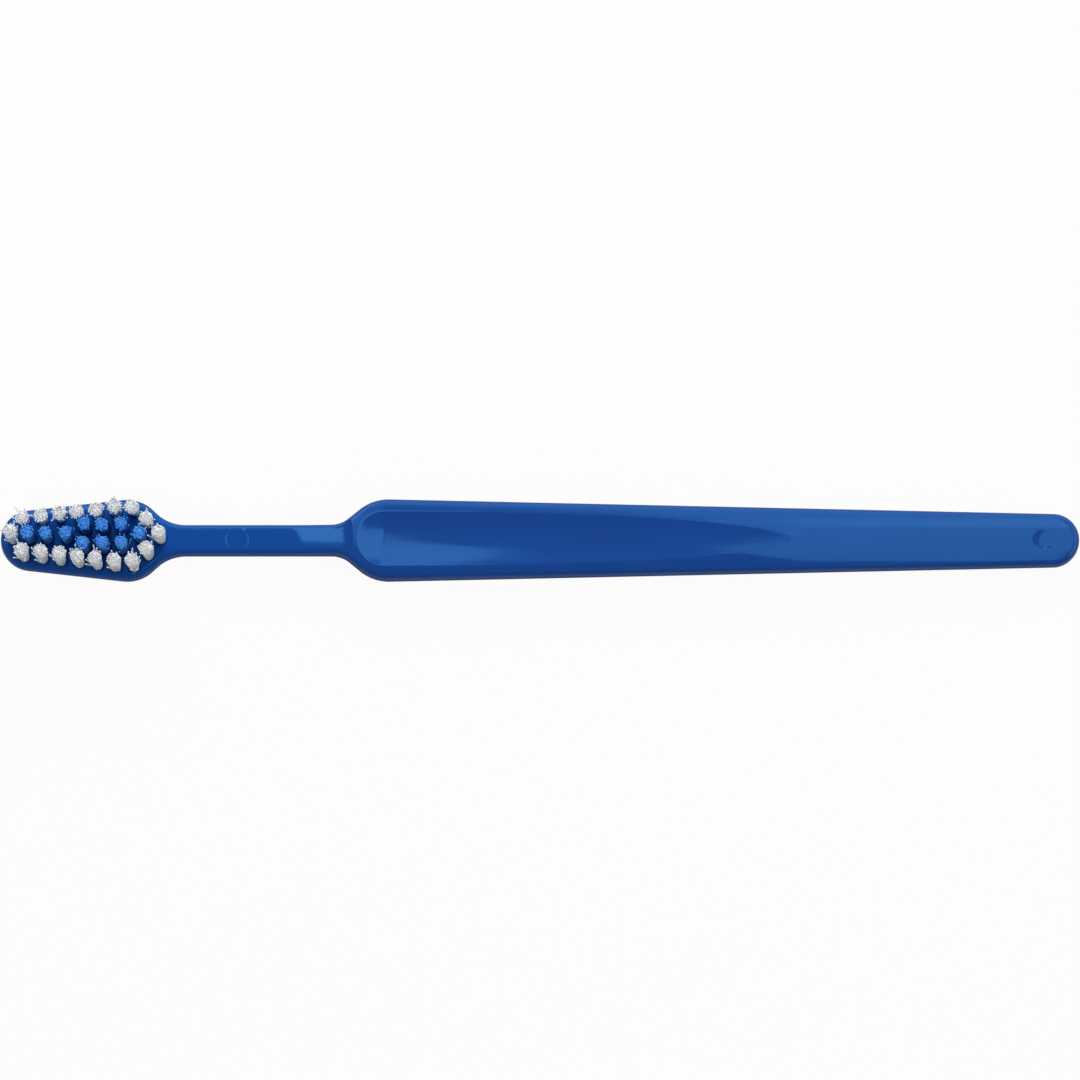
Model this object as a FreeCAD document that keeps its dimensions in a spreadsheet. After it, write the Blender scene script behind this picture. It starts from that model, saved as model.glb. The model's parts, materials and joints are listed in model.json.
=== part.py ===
"""A manual toothbrush, in millimetres: a one-piece moulded handle with its head, 28 bristle tufts
and the 28 metal anchors that hold the tufts in the head.

The handle is drawn from the tip of its head along +X, lies on its flat back at Z = 0 and turns its
bristles up. Each tuft is drawn about its own root. At the end every piece is placed so that X = 0
is half way along the brush.
"""

import FreeCAD, Part
import math
import os
import Sketcher

SIZES = {
    # The outline of the moulding, seen from the bristle side
    "overall_length": 160.0,
    "head_tip_radius": 4.45,
    "head_flare": 6.4,  # degrees, each side
    "head_length": 20.7,  # from the tip to the corners of the head
    "head_shoulder_length": 4.3,
    "neck_half_width": 2.27,
    "neck_length": 25.55,
    "grip_shoulder_length": 4.65,
    "grip_taper": 1.23,  # degrees, each side
    "end_radius": 3.93,
    # The thickness of the moulding, and its crowned top
    "parting_height": 2.2,
    "draft": 1.5,  # degrees, from the parting line up and down
    "face_height": 4.2,
    "rim_rise": 1.5,  # of the grip's crest above the face of the head
    "end_height": 4.4,
    "ramp_lead": 7.55,  # from the start of the ramp to the end of the neck
    "ramp_hollow_radius": 25.0,
    "ramp_slope": 12.0,  # degrees
    "rim_round": 8.0,
    "crown_radius": 18.0,
    "face_edge_round": 0.9,
    "back_edge_round": 1.1,
    # The thumb rest, a long dish that runs out along the grip
    "dish_setback": 2.35,  # from the end of the neck to the dish
    "dish_lead": 4.1,  # from there to its deepest place
    "dish_depth": 0.93,
    "dish_radius": 20.0,  # of its section
    # Marks of the mould's ejector pins
    "neck_mark_place": 10.1,  # from the start of the neck
    "neck_mark_radius": 1.75,
    "neck_mark_depth": 0.1,
    "end_mark_place": 5.0,  # from the end of the grip
    "end_mark_radius": 1.93,
    "end_mark_depth": 0.2,
    # The tuft holes and their bundles of bristle
    "hole_radius": 0.85,
    "hole_depth": 3.0,
    "edge_wall": 0.95,  # between a hole and the edge of the head
    "corner_inset": 0.3,  # of the tufts at the corners of the head
    "inner_pair_offset": 1.45,
    "tuft_clearance": 0.02,
    "bristle_height": 10.0,
    "outer_tuft_radius": 1.2,  # at its end
    "inner_tuft_radius": 1.0,
    "tuft_end_round": 0.45,
    "fold_round": 0.4,
    # The flat anchors that the bundles are folded over
    "anchor_bite": 0.2,  # past the wall of the hole, at each end
    "anchor_height": 1.4,
    "anchor_thickness": 0.25,
    "anchor_angle": 35.0,  # degrees
    "anchor_fold": 0.5,  # of bristle under the anchor
    "anchor_clearance": 0.02,
    # How far cutting shapes reach past the moulding
    "cutter_margin": 2.0,
}

# How much of a shoulder's straight run each of its two arcs takes, nearest the head first
HEAD_SHOULDER_SHARES = (0.44, 0.417)
GRIP_SHOULDER_SHARES = (0.24, 0.42)
# Where the thumb rest runs out, along the grip from its corner to its end
DISH_END_SHARE = 0.59
# The most of a side wall that a round on its edge may take
ROUND_WALL_SHARE = 0.7
# Where the tufts stand, from the centre of the head's tip to the corners of the head
OUTER_ROW_SHARES = (-0.05, 0.117, 0.283, 0.45, 0.617, 0.783, 0.95)
INNER_MIDDLE_SHARES = (0.0, 0.163, 0.342, 1.012)
INNER_PAIR_SHARES = (0.508, 0.677, 0.846)
# The tuft at the tip, as a share of the tip's radius
TIP_TUFT_SHARE = 0.44
# The last three outer tufts: along the head's shoulder, and out as a share of the corner's width
SHOULDER_TUFT_SHARES = ((0.302, 0.375), (0.72, 0.0), (0.302, -0.375))

LENGTH = "sizes.overall_length"
NECK_START = "(sizes.head_length + sizes.head_shoulder_length)"
NECK_END = f"({NECK_START} + sizes.neck_length)"
GRIP_START = f"({NECK_END} + sizes.grip_shoulder_length)"
RIM_HEIGHT = "(sizes.face_height + sizes.rim_rise)"
ANCHOR_LENGTH = "2 * (sizes.hole_radius + sizes.anchor_bite)"
# The lower edge of an anchor, measured from the face of the head
ANCHOR_BOTTOM = "(sizes.anchor_fold - sizes.hole_depth)"
UP = FreeCAD.Vector(0, 0, 1)
# A sketch's own origin, as a constraint names it
ORIGIN = (-1, 1)
CUTTING = ("PartDesign::Pocket", "PartDesign::Groove", "PartDesign::SubtractiveSphere")

doc = FreeCAD.newDocument("toothbrush")


def make_sheet():
    """The spreadsheet that holds every driving size."""
    cells = doc.addObject("Spreadsheet::Sheet", "sizes")
    for row, (alias, number) in enumerate(SIZES.items(), start=1):
        cells.set(f"A{row}", alias)
        cells.set(f"B{row}", str(number))
        cells.setAlias(f"B{row}", alias)
    doc.recompute()
    return cells


sheet = make_sheet()


def value(expression):
    """The number that an expression on the sheet gives now."""
    return float(sheet.evalExpression(expression))


def at(x, y):
    """A point of a sketch."""
    return FreeCAD.Vector(x, y, 0)


def new_body(name):
    """An empty body, which its name also labels."""
    body = doc.addObject("PartDesign::Body", name)
    body.Label = name
    return body


def new_sketch(body, name, plane, draw, offset="0"):
    """A drawn sketch on one of the body's own origin planes, moved along its normal."""
    sketch = body.newObject("Sketcher::SketchObject", name)
    origin_plane = next(f for f in body.Origin.OriginFeatures if f.Role == plane)
    sketch.AttachmentSupport = [(origin_plane, "")]
    sketch.MapMode = "FlatFace"
    sketch.setExpression("AttachmentOffset.Base.z", offset)
    drawing = Drawing(sketch)
    draw(drawing)
    drawing.finish()
    return sketch


class Drawing:
    """What a sketch gets: its geometry at once, and its constraints together at the end.

    Point 1 of a line or arc is its start, 2 its end and 3 an arc's or circle's centre.
    """

    def __init__(self, sketch):
        self.sketch = sketch
        self.constraints = []
        self.sizes = {}

    def add(self, shape, helper=False):
        """Adds a shape, or a helping line that isn't built; returns its number."""
        return self.sketch.addGeometry(shape, helper)

    def tie(self, kind, *where):
        """Adds a constraint that has no size."""
        self.constraints.append(Sketcher.Constraint(kind, *where))

    def hold(self, kind, *where, size):
        """Adds a constraint whose size is an expression."""
        self.sizes[len(self.constraints)] = size
        self.constraints.append(Sketcher.Constraint(kind, *where, value(size)))

    def pin(self, geometry, end, across, up):
        """Holds one point at two expressions, either of which may be "0"."""
        for kind, size, axis in (("DistanceX", across, -2), ("DistanceY", up, -1)):
            if size == "0":
                self.tie("PointOnObject", geometry, end, axis)
            else:
                self.hold(kind, *ORIGIN, geometry, end, size=size)

    def mark(self, across, up):
        """A construction point held at two expressions."""
        index = self.add(Part.Point(at(value(across), value(up))), True)
        self.pin(index, 1, across, up)
        return index

    def circle(self, across, up, radius):
        """A circle held at two expressions, with the radius of a third."""
        index = self.add(Part.Circle(at(value(across), value(up)), UP, value(radius)))
        self.pin(index, 3, across, up)
        self.hold("Radius", index, size=radius)

    def chain(self, points):
        """Straight lines from point to point; returns their numbers."""
        lines = [self.add(Part.LineSegment(a, b)) for a, b in zip(points, points[1:])]
        for a, b in zip(lines, lines[1:]):
            self.tie("Coincident", a, 2, b, 1)
        return lines

    def rectangle(self, centre, along, across):
        """A rectangle from its centre and the halves of its two sides."""
        corners = [centre - along - across, centre + along - across,
                   centre + along + across, centre - along + across]
        lines = self.chain([*corners, corners[0]])
        self.tie("Coincident", lines[3], 2, lines[0], 1)
        self.tie("Parallel", lines[0], lines[2])
        self.tie("Parallel", lines[1], lines[3])
        self.tie("Perpendicular", lines[0], lines[1])
        return lines

    def finish(self):
        """Gives the sketch all its constraints, and binds those that have a size."""
        self.sketch.addConstraint(self.constraints)
        for index, size in self.sizes.items():
            self.sketch.setExpression(f"Constraints[{index}]", size)


def arc_by_angles(centre, radius, start, end):
    """An arc that runs anticlockwise from one angle to another, in radians."""
    return Part.ArcOfCircle(Part.Circle(centre, UP, radius), start, end)


def feature(body, kind, name, profile=None, **sizes):
    """A feature of a body, with its sizes bound to expressions."""
    new = body.newObject(f"PartDesign::{kind}", name)
    if profile is not None:
        new.Profile = profile
    for size, expression in sizes.items():
        new.setExpression(size, expression)
    return new


# The moulding

def head_edge(place):
    """Half the head's width at a place between its tip and its corners."""
    return (f"((({place}) - sizes.head_tip_radius) * tan(sizes.head_flare * 1deg)"
            " + sizes.head_tip_radius / cos(sizes.head_flare * 1deg))")


def grip_edge(place):
    """Half the grip's width at a place between its corners and its end."""
    return (f"(({LENGTH} - sizes.end_radius - ({place})) * tan(sizes.grip_taper * 1deg)"
            " + sizes.end_radius / cos(sizes.grip_taper * 1deg))")


def crest(place):
    """The height of the grip's crest at a place."""
    return (f"({RIM_HEIGHT} - (({place}) - {GRIP_START}) * ({RIM_HEIGHT} - sizes.end_height)"
            f" / ({LENGTH} - {GRIP_START}))")


def shoulder_arcs():
    """The four corners of one side: place, half width and how far their arcs reach along a run."""
    for shares, start, end in (
            (HEAD_SHOULDER_SHARES, ("sizes.head_length", head_edge("sizes.head_length")),
             (NECK_START, "sizes.neck_half_width")),
            (GRIP_SHOULDER_SHARES, (NECK_END, "sizes.neck_half_width"),
             (GRIP_START, grip_edge(GRIP_START)))):
        run = f"sqrt(({end[0]} - {start[0]}) ^ 2 + ({end[1]} - {start[1]}) ^ 2)"
        for share, (place, half_width) in zip(shares, (start, end)):
            yield place, half_width, f"{share} * {run}"


def draw_side(plan, side, tip_arc, end_arc, first, last):
    """One side of the outline: five straight runs, with a tangent arc at each corner."""
    corners = list(shoulder_arcs())
    places = [first, *(at(value(x), side * value(y)) for x, y, _ in corners), last]
    marks = [plan.mark(x, y if side > 0 else f"-{y}") for x, y, _ in corners]
    before, before_end, start = tip_arc, 2 if side < 0 else 1, first
    for n, (_, _, reach) in enumerate(corners, start=1):
        into = (places[n] - places[n - 1]).normalize()
        out = (places[n + 1] - places[n]).normalize()
        turn = math.atan2(into.cross(out).z, into.dot(out))
        arc_start = places[n] - into * value(reach)
        arc_end = places[n] + out * value(reach)
        radius = value(reach) / math.tan(abs(turn) / 2)
        centre = arc_start + at(-into.y, into.x) * math.copysign(radius, turn)
        middle = centre + (places[n] - centre).normalize() * radius
        line = plan.add(Part.LineSegment(start, arc_start))
        arc = plan.add(Part.Arc(arc_start, middle, arc_end))
        near, far = (1, 2) if turn > 0 else (2, 1)
        plan.tie("Tangent", before, before_end, line, 1)
        plan.tie("Tangent", line, 2, arc, near)
        plan.tie("PointOnObject", marks[n - 1], 1, line)
        if n > 1:
            plan.tie("PointOnObject", marks[n - 2], 1, line)
        plan.hold("Distance", marks[n - 1], 1, arc, near, size=reach)
        before, before_end, start = arc, far, arc_end
    line = plan.add(Part.LineSegment(start, last))
    plan.tie("Tangent", before, before_end, line, 1)
    plan.tie("Tangent", line, 2, end_arc, 1 if side < 0 else 2)
    plan.tie("PointOnObject", marks[-1], 1, line)


def draw_outline(plan):
    """The closed outline of the moulding: a round tip, a round end and two like sides."""
    flare = math.radians(value("sizes.head_flare"))
    taper = math.radians(value("sizes.grip_taper"))
    tip_radius = value("sizes.head_tip_radius")
    end_radius = value("sizes.end_radius")
    tip_centre = at(tip_radius, 0)
    end_centre = at(value(LENGTH) - end_radius, 0)
    quarter = math.pi / 2
    tip_arc = plan.add(
        arc_by_angles(tip_centre, tip_radius, quarter + flare, 3 * quarter - flare))
    end_arc = plan.add(
        arc_by_angles(end_centre, end_radius, taper - quarter, quarter - taper))
    plan.pin(tip_arc, 3, "sizes.head_tip_radius", "0")
    plan.hold("Radius", tip_arc, size="sizes.head_tip_radius")
    plan.pin(end_arc, 3, f"{LENGTH} - sizes.end_radius", "0")
    plan.hold("Radius", end_arc, size="sizes.end_radius")
    for side in (-1, 1):
        first = tip_centre + at(-math.sin(flare), side * math.cos(flare)) * tip_radius
        last = end_centre + at(math.sin(taper), side * math.cos(taper)) * end_radius
        draw_side(plan, side, tip_arc, end_arc, first, last)


def draw_ramp(plan):
    """What is cut off above the head, neck and ramp, seen from the side: level at first, then a
    hollow arc that turns up into the straight ramp."""
    start = f"{NECK_END} - sizes.ramp_lead"
    lid = f"{RIM_HEIGHT} + 2 * sizes.cutter_margin"
    level, margin, top = value("sizes.face_height"), value("sizes.cutter_margin"), value(lid)
    radius, slope = value("sizes.ramp_hollow_radius"), math.radians(value("sizes.ramp_slope"))
    centre = at(value(start), level + radius)
    turned = centre + at(math.sin(slope), -math.cos(slope)) * radius
    ramp_top = at(turned.x + (top - turned.y) / math.tan(slope), top)
    hollow = plan.add(arc_by_angles(centre, radius, -math.pi / 2, slope - math.pi / 2))
    ramp, roof, front, flat = plan.chain([
        turned, ramp_top, at(-margin, top), at(-margin, level), at(centre.x, level)])
    plan.tie("Tangent", flat, 2, hollow, 1)
    plan.tie("Tangent", hollow, 2, ramp, 1)
    plan.tie("Horizontal", flat)
    plan.tie("Horizontal", roof)
    plan.tie("Vertical", front)
    plan.pin(flat, 2, start, "sizes.face_height")
    plan.pin(front, 1, "-sizes.cutter_margin", lid)
    plan.hold("Radius", hollow, size="sizes.ramp_hollow_radius")
    plan.hold("Angle", ramp, size="sizes.ramp_slope * 1deg")


def draw_crown(plan):
    """What is cut off above the crowned grip, seen along it from the level of its crest."""
    reach, lid = "2 * sizes.end_radius", "2 * sizes.cutter_margin"
    radius, half, top = value("sizes.crown_radius"), value(reach), value(lid)
    spread = math.asin(half / radius)
    low = math.sqrt(radius ** 2 - half ** 2) - radius
    arc = plan.add(
        arc_by_angles(at(0, -radius), radius, math.pi / 2 - spread, math.pi / 2 + spread))
    right, roof, left = plan.chain([at(half, low), at(half, top), at(-half, top), at(-half, low)])
    plan.tie("Coincident", arc, 1, right, 1)
    plan.tie("Coincident", left, 2, arc, 2)
    plan.tie("Vertical", right)
    plan.tie("Vertical", left)
    plan.tie("Horizontal", roof)
    plan.pin(arc, 3, "0", "-sizes.crown_radius")
    plan.hold("Radius", arc, size="sizes.crown_radius")
    plan.pin(roof, 1, reach, lid)
    plan.hold("DistanceX", roof, 2, *ORIGIN, size=reach)


def draw_dish(plan):
    """Half a section along the thumb rest, and the axis that it turns about: a tight arc down to the
    deepest place, then a long one that leaves it parallel to the crest and rises to meet it."""
    start = f"{NECK_END} + sizes.dish_setback"
    deepest = f"{start} + sizes.dish_lead"
    runout = f"{GRIP_START} + {DISH_END_SHARE} * ({LENGTH} - {GRIP_START})"
    floor = f"{crest(deepest)} - sizes.dish_depth"
    axis = f"{floor} + sizes.dish_radius"
    low = at(value(deepest), value(floor))
    edge = at(value(start), value(crest(start)))
    out = at(value(runout), value(crest(runout)))
    slope = (out - edge).normalize()
    normal = at(-slope.y, slope.x)
    top, end_place = value(axis), value(LENGTH)

    def bow(point):
        """The centre and radius of the arc through a point that is level with the crest at the low."""
        chord = point - low
        radius = chord.dot(chord) / (2 * chord.dot(normal))
        return low + normal * radius, radius

    centre, radius = bow(edge)
    long_centre, long_radius = bow(out)
    turned = math.acos((end_place - long_centre.x) / long_radius)
    far = long_centre + at(math.cos(turned), -math.sin(turned)) * long_radius
    near = at(centre.x - radius, centre.y)
    down = math.atan2(-normal.y, -normal.x)
    arc = plan.add(arc_by_angles(centre, radius, math.pi, down + 2 * math.pi))
    long_arc = plan.add(arc_by_angles(long_centre, long_radius, down, -turned))
    end, spine, front = plan.chain([far, at(far.x, top), at(near.x, top), near])
    crest_line = plan.add(Part.LineSegment(edge, out), True)
    level = plan.add(Part.LineSegment(low, low + out - edge), True)
    plan.pin(crest_line, 1, start, crest(start))
    plan.pin(crest_line, 2, runout, crest(runout))
    plan.pin(level, 1, deepest, floor)
    plan.tie("Parallel", level, crest_line)
    plan.hold("DistanceX", level, 1, level, 2, size=f"{runout} - ({start})")
    plan.tie("Tangent", arc, 2, level, 1)
    plan.tie("Tangent", long_arc, 1, level, 1)
    plan.tie("PointOnObject", crest_line, 1, arc)
    plan.tie("PointOnObject", crest_line, 2, long_arc)
    plan.tie("Coincident", long_arc, 2, end, 1)
    plan.tie("Tangent", front, 2, arc, 1)
    plan.tie("Vertical", end)
    plan.tie("Vertical", front)
    plan.tie("Horizontal", spine)
    plan.pin(end, 2, LENGTH, axis)
    axle = plan.add(Part.LineSegment(at(near.x, top), at(far.x, top)), True)
    plan.tie("Coincident", axle, 1, spine, 2)
    plan.tie("Coincident", axle, 2, spine, 1)


def draw_neck_mark(plan):
    """The flat round mark on the neck."""
    plan.circle(f"{NECK_START} + sizes.neck_mark_place", "0", "sizes.neck_mark_radius")


def is_top(face):
    """Whether a face of the moulding looks up."""
    u_low, u_high, v_low, v_high = face.ParameterRange
    return face.normalAt((u_low + u_high) / 2, (v_low + v_high) / 2).z > math.sqrt(0.5)


def edges_between(shape, first, second):
    """The names of the edges that a face of the first group shares with one of the second."""
    def on(edge, faces):
        return any(edge.isSame(other) for face in faces for other in face.Edges)

    return [f"Edge{n}" for n, edge in enumerate(shape.Edges, start=1)
            if on(edge, first) and on(edge, second)]


def round_edges(body, name, radius, choose):
    """Rounds the edges that a function picks from the shape so far."""
    doc.recompute()
    base = body.Tip
    names = choose(base.Shape)
    fillet = feature(body, "Fillet", name, Radius=radius)
    fillet.Base = (base, names)
    return fillet


def rim_edge(shape):
    """The crease where the ramp meets the crown of the grip."""
    tops = [face for face in shape.Faces if is_top(face)]
    crown = max(tops, key=lambda face: face.BoundBox.XMax)
    return edges_between(shape, [crown], [face for face in tops if not face.isSame(crown)])


def top_edges(shape):
    """The loop round the top of the whole moulding."""
    tops = [face for face in shape.Faces if is_top(face)]
    sides = [face for face in shape.Faces if not is_top(face)]
    return edges_between(shape, tops, sides)


def back_edges(shape):
    """The loop round the flat back."""
    back = min(shape.Faces, key=lambda face: face.BoundBox.ZMax)
    sides = [face for face in shape.Faces if not face.isSame(back)]
    return edges_between(shape, [back], sides)


def make_moulding():
    """The moulding, with a draft up and down from its parting line and its top cut to shape."""
    body = new_body("moulding")
    outline = new_sketch(body, "outline", "XY_Plane", draw_outline, "sizes.parting_height")
    feature(body, "Pad", "upper_half", outline, TaperAngle="-sizes.draft",
            Length=f"{RIM_HEIGHT} + sizes.cutter_margin - sizes.parting_height")
    lower = feature(body, "Pad", "lower_half", outline, TaperAngle="-sizes.draft",
                    Length="sizes.parting_height")
    lower.Reversed = True

    side = new_sketch(body, "ramp_section", "XZ_Plane", draw_ramp)
    along = new_sketch(body, "crown_section", "YZ_Plane", draw_crown, GRIP_START)
    along.setExpression("AttachmentOffset.Base.y", RIM_HEIGHT)
    along.setExpression("AttachmentOffset.Rotation.Axis.x", "1")
    along.setExpression("AttachmentOffset.Rotation.Axis.z", "0")
    along.setExpression("AttachmentOffset.Rotation.Angle",
                        f"atan(({RIM_HEIGHT} - sizes.end_height) / ({LENGTH} - {GRIP_START}))")
    for name, section in (("ramp", side), ("crown", along)):
        cut = feature(body, "Pocket", name, section)
        cut.Type = "ThroughAll"
        cut.Midplane = True

    drop = "(sizes.crown_radius - sqrt(sizes.crown_radius ^ 2 - sizes.end_radius ^ 2))"
    walls = ("sizes.face_height - sizes.parting_height",
             f"sizes.end_height - {drop} - sizes.parting_height")
    limits = "; ".join(f"{ROUND_WALL_SHARE} * ({wall})" for wall in walls)
    round_edges(body, "rim_edge", "sizes.rim_round", rim_edge)
    round_edges(body, "face_edge", f"min(sizes.face_edge_round; {limits})", top_edges)
    round_edges(body, "back_edge",
                f"min(sizes.back_edge_round; {ROUND_WALL_SHARE} * sizes.parting_height)", back_edges)

    hollow = new_sketch(body, "dish_section", "XZ_Plane", draw_dish)
    dish = feature(body, "Groove", "dish", hollow)
    dish.ReferenceAxis = (hollow, ["Axis2"])

    circle = new_sketch(body, "neck_mark_circle", "XY_Plane", draw_neck_mark, "sizes.face_height")
    feature(body, "Pocket", "neck_mark", circle, Length="sizes.neck_mark_depth")

    ball = "((sizes.end_mark_radius ^ 2 + sizes.end_mark_depth ^ 2) / (2 * sizes.end_mark_depth))"
    place = f"{LENGTH} - sizes.end_mark_place"
    end_mark = feature(body, "SubtractiveSphere", "end_mark", Radius=ball)
    end_mark.setExpression("Placement.Base.x", place)
    end_mark.setExpression("Placement.Base.z", f"{crest(place)} - sizes.end_mark_depth + {ball}")

    body.setExpression("Placement.Base.x", f"-{LENGTH} / 2")
    return body


# The tufts and their anchors

def along_head(share):
    """A place between the centre of the head's tip and the corners of the head."""
    return f"(sizes.head_tip_radius + {share} * (sizes.head_length - sizes.head_tip_radius))"


def tuft_places():
    """Each tuft's name, its radius at the end, and its place on the face of the head."""
    inset = "(sizes.edge_wall + sizes.hole_radius)"
    outer = [(f"{TIP_TUFT_SHARE} * sizes.head_tip_radius", "0")]
    for side in ("", "-"):
        for share in OUTER_ROW_SHARES:
            x = along_head(share)
            corner = " - sizes.corner_inset" if share == OUTER_ROW_SHARES[-1] else ""
            outer.append((x, f"{side}({head_edge(x)} - {inset}{corner})"))
    for along, out in SHOULDER_TUFT_SHARES:
        x = f"sizes.head_length + {along} * sizes.head_shoulder_length"
        outer.append((x, f"{out} * {head_edge('sizes.head_length')}" if out else "0"))
    inner = [(along_head(share), "0") for share in INNER_MIDDLE_SHARES]
    for side in ("", "-"):
        inner += [(along_head(share), f"{side}sizes.inner_pair_offset") for share in INNER_PAIR_SHARES]
    for kind, places in (("outer", outer), ("inner", inner)):
        for number, place in enumerate(places, start=1):
            yield f"{kind}_tuft_{number:02}", f"sizes.{kind}_tuft_radius", place


def draw_tuft(plan, end_radius):
    """Half a section of a tuft: the folded end in its hole, the straight seat up to the face, and
    the free part that spreads to its trimmed end."""
    seat = "sizes.hole_radius - sizes.tuft_clearance"
    radius, wide = value(seat), value(end_radius)
    fold, turned = value("sizes.fold_round"), value("sizes.tuft_end_round")
    low, high = -value("sizes.hole_depth"), value("sizes.bristle_height")
    quarter = math.pi / 2
    fold_arc = plan.add(
        arc_by_angles(at(radius - fold, low + fold), fold, -quarter, 0))
    spread_end = at(wide, high - turned)
    chord = spread_end - at(radius, 0)
    spread_radius = chord.dot(chord) / (2 * chord.x)
    centre = at(radius + spread_radius, 0)
    lean = math.atan2(chord.y, spread_radius - chord.x)
    spread = plan.add(
        arc_by_angles(centre, spread_radius, math.pi - lean, math.pi))
    end_arc = plan.add(arc_by_angles(at(wide - turned, high - turned), turned, 0, quarter))
    top, axis, bottom = plan.chain([
        at(wide - turned, high), at(0, high), at(0, low), at(radius - fold, low)])
    wall = plan.add(Part.LineSegment(at(radius, low + fold), at(radius, 0)))
    plan.tie("Tangent", bottom, 2, fold_arc, 1)
    plan.tie("Tangent", fold_arc, 2, wall, 1)
    plan.tie("Tangent", wall, 2, spread, 2)
    plan.tie("Coincident", spread, 1, end_arc, 1)
    plan.tie("Tangent", end_arc, 2, top, 1)
    plan.tie("Horizontal", top)
    plan.tie("Horizontal", bottom)
    plan.tie("Vertical", wall)
    plan.pin(axis, 1, "0", "sizes.bristle_height")
    plan.pin(axis, 2, "0", "-sizes.hole_depth")
    plan.pin(wall, 2, seat, "0")
    plan.pin(end_arc, 1, end_radius, "sizes.bristle_height - sizes.tuft_end_round")
    plan.hold("Radius", fold_arc, size="sizes.fold_round")
    plan.hold("Radius", end_arc, size="sizes.tuft_end_round")


def draw_tuft_slot(plan):
    """The slot in a tuft, as long as the anchor, which is longer than the tuft is wide."""
    width = "sizes.anchor_thickness + 2 * sizes.anchor_clearance"
    sides = plan.rectangle(at(0, 0), at(value(ANCHOR_LENGTH) / 2, 0), at(0, value(width) / 2))
    plan.tie("Symmetric", sides[0], 1, sides[2], 1, *ORIGIN)
    plan.tie("Horizontal", sides[0])
    plan.hold("Distance", sides[0], size=ANCHOR_LENGTH)
    plan.hold("Distance", sides[1], size=width)


def make_tuft(name, end_radius, x, y):
    """One bundle of bristles, folded over its anchor, which passes through a slot in it."""
    body = new_body(name)
    half = new_sketch(body, f"{name}_half", "XZ_Plane", lambda plan: draw_tuft(plan, end_radius))
    turned = feature(body, "Revolution", f"{name}_turned", half)
    turned.ReferenceAxis = (half, ["V_Axis"])
    slot = new_sketch(body, f"{name}_slot", "XY_Plane", draw_tuft_slot,
                      f"{ANCHOR_BOTTOM} + sizes.anchor_height + sizes.anchor_clearance")
    slot.setExpression("AttachmentOffset.Rotation.Angle", "sizes.anchor_angle")
    feature(body, "Pocket", f"{name}_cut", slot,
            Length="sizes.anchor_height + sizes.anchor_clearance")
    body.setExpression("Placement.Base.x", f"{x} - {LENGTH} / 2")
    body.setExpression("Placement.Base.y", y)
    body.setExpression("Placement.Base.z", "sizes.face_height")
    return body


def make_group(name, members):
    """Several shapes under one name."""
    group = doc.addObject("Part::Compound", name)
    group.Links = members
    return group


def make_cylinders(places):
    """The tuft holes, as far up as cutting shapes go."""
    for number, (x, y) in enumerate(places, start=1):
        hole = doc.addObject("Part::Cylinder", f"tuft_hole_{number:02}")
        hole.setExpression("Radius", "sizes.hole_radius")
        hole.setExpression("Height", "sizes.hole_depth + sizes.cutter_margin")
        hole.setExpression("Placement.Base.x", f"{x} - {LENGTH} / 2")
        hole.setExpression("Placement.Base.y", y)
        hole.setExpression("Placement.Base.z", "sizes.face_height - sizes.hole_depth")
        yield hole


def make_plates(name, places, length, width, height):
    """Like upright plates, one across the middle of each hole, standing on the folded bristle."""
    turn = "sizes.anchor_angle * 1deg"
    for number, (x, y) in enumerate(places, start=1):
        plate = doc.addObject("Part::Box", f"{name}_{number:02}")
        plate.setExpression("Length", length)
        plate.setExpression("Width", width)
        plate.setExpression("Height", height)
        plate.setExpression("Placement.Rotation.Angle", "sizes.anchor_angle")
        plate.setExpression("Placement.Base.x", f"{x} - {LENGTH} / 2"
                            f" - ({length}) / 2 * cos({turn}) + ({width}) / 2 * sin({turn})")
        plate.setExpression("Placement.Base.y",
                            f"{y} - ({length}) / 2 * sin({turn}) - ({width}) / 2 * cos({turn})")
        plate.setExpression("Placement.Base.z", f"sizes.face_height + {ANCHOR_BOTTOM}")
        yield plate


def make_anchors(places):
    """The flat anchors, each a little longer than its hole is wide."""
    return make_group("tuft_anchors", list(make_plates(
        "anchor", places, ANCHOR_LENGTH, "sizes.anchor_thickness", "sizes.anchor_height")))


def make_handle(places):
    """The moulding, with the tuft holes and the slots that its anchors are driven down."""
    slack = "2 * sizes.anchor_clearance"
    holes = make_group("tuft_holes", list(make_cylinders(places)))
    slots = make_group("anchor_slots", list(make_plates(
        "anchor_slot", places, f"{ANCHOR_LENGTH} + {slack}", f"sizes.anchor_thickness + {slack}",
        f"sizes.cutter_margin - {ANCHOR_BOTTOM}")))
    handle = make_moulding()
    for name, tool in (("drilled_moulding", holes), ("handle", slots)):
        cut = doc.addObject("Part::Cut", name)
        cut.Base = handle
        cut.Tool = tool
        cut.Label = name
        handle = cut
    return handle


def check_document(pieces):
    """Stops if any object failed, any cut removed nothing or any piece isn't a valid solid."""
    for thing in doc.Objects:
        if "Invalid" in thing.State or "Error" in thing.State:
            raise RuntimeError(f"{thing.Name} failed")
        if thing.TypeId in CUTTING:
            if thing.Shape.Volume >= thing.BaseFeature.Shape.Volume:
                raise RuntimeError(f"{thing.Name} cuts nothing")
        if thing.TypeId == "Part::Cut" and thing.Shape.Volume >= thing.Base.Shape.Volume:
            raise RuntimeError(f"{thing.Name} cuts nothing")
    for piece in pieces:
        if piece.Shape.isNull() or not piece.Shape.isValid() or not piece.Shape.Solids:
            raise RuntimeError(f"{piece.Label} is not a valid solid")


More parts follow.
